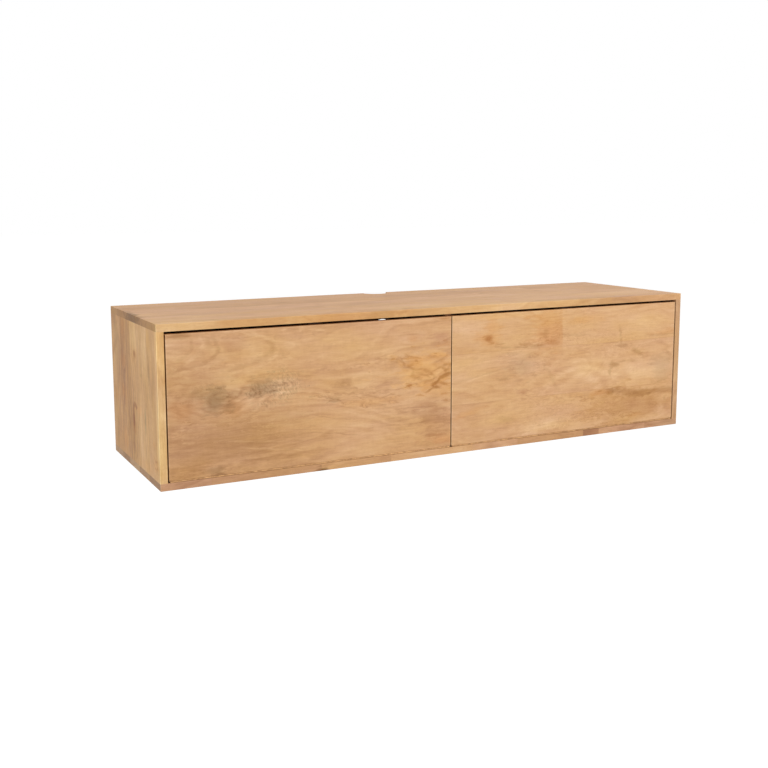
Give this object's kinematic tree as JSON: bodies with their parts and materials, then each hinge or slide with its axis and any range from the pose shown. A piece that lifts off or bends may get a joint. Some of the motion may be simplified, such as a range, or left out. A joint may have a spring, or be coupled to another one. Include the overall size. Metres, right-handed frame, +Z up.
{
  "type": "floating media console",
  "caption": "Wall-hung wooden media console with drop-down flap doors under a finger gap, a cable notch in the rear edge and bevelled wall rails.",
  "frame": {"origin": "middle of the case's underside", "axes": "+Z up, -Y towards the room and the doors, +Y towards the wall, +X to the right for someone facing the doors"},
  "size_m": [1.4, 0.4, 0.35],
  "materials": {
    "wood_top": "clear satin oil on mango wood boards",
    "wood_bottom": "clear satin oil on finger-jointed mango wood",
    "wood_sides": "clear satin oil on edge-glued mango wood staves",
    "wood_doors": "clear satin oil on figured mango wood",
    "wood_inside": "clear satin oil",
    "wood_rails": "planed, unfinished",
    "wood_dowels": "raw fluted beech",
    "hinge_brass": "satin brass",
    "stay_steel": "zinc-plated pressed steel",
    "screw_steel": "zinc plated",
    "strike_steel": "bright zinc",
    "catch_plastic": "moulded brown plastic",
    "magnet": "sintered ferrite",
    "bumper_felt": "brown felt"
  },
  "bodies": {
    "root": {"back_panel": "wood_inside", "bottom_panel": "wood_bottom", "case_dowels": "wood_dowels", "catch_screws": "screw_steel", "centre_divider": "wood_inside", "cleat_dowels": "wood_dowels", "door_bumpers": "bumper_felt", "left_case_cleat": "wood_rails", "left_catch_housing": "catch_plastic", "left_catch_magnet": "magnet", "left_catch_poles": "strike_steel", "left_hinge_case_leaf": "hinge_brass", "left_hinge_case_screws": "hinge_brass", "left_hinge_pin": "hinge_brass", "left_inner_stay_bracket": "stay_steel", "left_outer_stay_bracket": "stay_steel", "left_side_panel": "wood_sides", "left_wall_rail": "wood_rails", "right_case_cleat": "wood_rails", "right_catch_housing": "catch_plastic", "right_catch_magnet": "magnet", "right_catch_poles": "strike_steel", "right_hinge_case_leaf": "hinge_brass", "right_hinge_case_screws": "hinge_brass", "right_hinge_pin": "hinge_brass", "right_inner_stay_bracket": "stay_steel", "right_outer_stay_bracket": "stay_steel", "right_side_panel": "wood_sides", "right_wall_rail": "wood_rails", "stay_bracket_screws": "screw_steel", "stay_studs": "stay_steel", "top_panel": "wood_top"},
    "left_door": {"left_door_panel": "wood_doors", "left_hinge_door_leaf": "hinge_brass", "left_hinge_door_screws": "hinge_brass", "left_strike_plate": "strike_steel", "left_strike_screws": "screw_steel", "left_outer_stay_foot": "stay_steel", "left_inner_stay_foot": "stay_steel", "left_stay_pivots": "stay_steel", "left_stay_foot_screws": "screw_steel"},
    "right_door": {"right_door_panel": "wood_doors", "right_hinge_door_leaf": "hinge_brass", "right_hinge_door_screws": "hinge_brass", "right_strike_plate": "strike_steel", "right_strike_screws": "screw_steel", "right_outer_stay_foot": "stay_steel", "right_inner_stay_foot": "stay_steel", "right_stay_pivots": "stay_steel", "right_stay_foot_screws": "screw_steel"},
    "left_outer_arm": {"left_outer_stay_arm": "stay_steel"},
    "left_inner_arm": {"left_inner_stay_arm": "stay_steel"},
    "right_inner_arm": {"right_inner_stay_arm": "stay_steel"},
    "right_outer_arm": {"right_outer_stay_arm": "stay_steel"}
  },
  "joints": [
    {"name": "left_door_hinge", "type": "hinge", "parent": "root", "child": "left_door", "pos_m": [-0.34113, -0.1985, 0.0177], "axis": [1, 0, 0], "range_deg": [0, 90]},
    {"name": "right_door_hinge", "type": "hinge", "parent": "root", "child": "right_door", "pos_m": [0.34113, -0.1985, 0.0177], "axis": [1, 0, 0], "range_deg": [0, 90]},
    {"name": "left_outer_arm_pivot", "type": "hinge", "parent": "left_door", "child": "left_outer_arm", "pos_m": [-0.67675, -0.172, 0.14497], "axis": [1, 0, 0], "range_deg": [-45, 0]},
    {"name": "left_inner_arm_pivot", "type": "hinge", "parent": "left_door", "child": "left_inner_arm", "pos_m": [-0.01525, -0.172, 0.14497], "axis": [1, 0, 0], "range_deg": [-45, 0]},
    {"name": "right_inner_arm_pivot", "type": "hinge", "parent": "right_door", "child": "right_inner_arm", "pos_m": [0.01525, -0.172, 0.14497], "axis": [1, 0, 0], "range_deg": [-45, 0]},
    {"name": "right_outer_arm_pivot", "type": "hinge", "parent": "right_door", "child": "right_outer_arm", "pos_m": [0.67675, -0.172, 0.14497], "axis": [1, 0, 0], "range_deg": [-45, 0]}
  ],
  "couplings": [
    {"joint": "left_outer_arm_pivot", "follows": "left_door_hinge", "ratio": -0.5},
    {"joint": "left_inner_arm_pivot", "follows": "left_door_hinge", "ratio": -0.5},
    {"joint": "right_inner_arm_pivot", "follows": "right_door_hinge", "ratio": -0.5},
    {"joint": "right_outer_arm_pivot", "follows": "right_door_hinge", "ratio": -0.5}
  ]
}
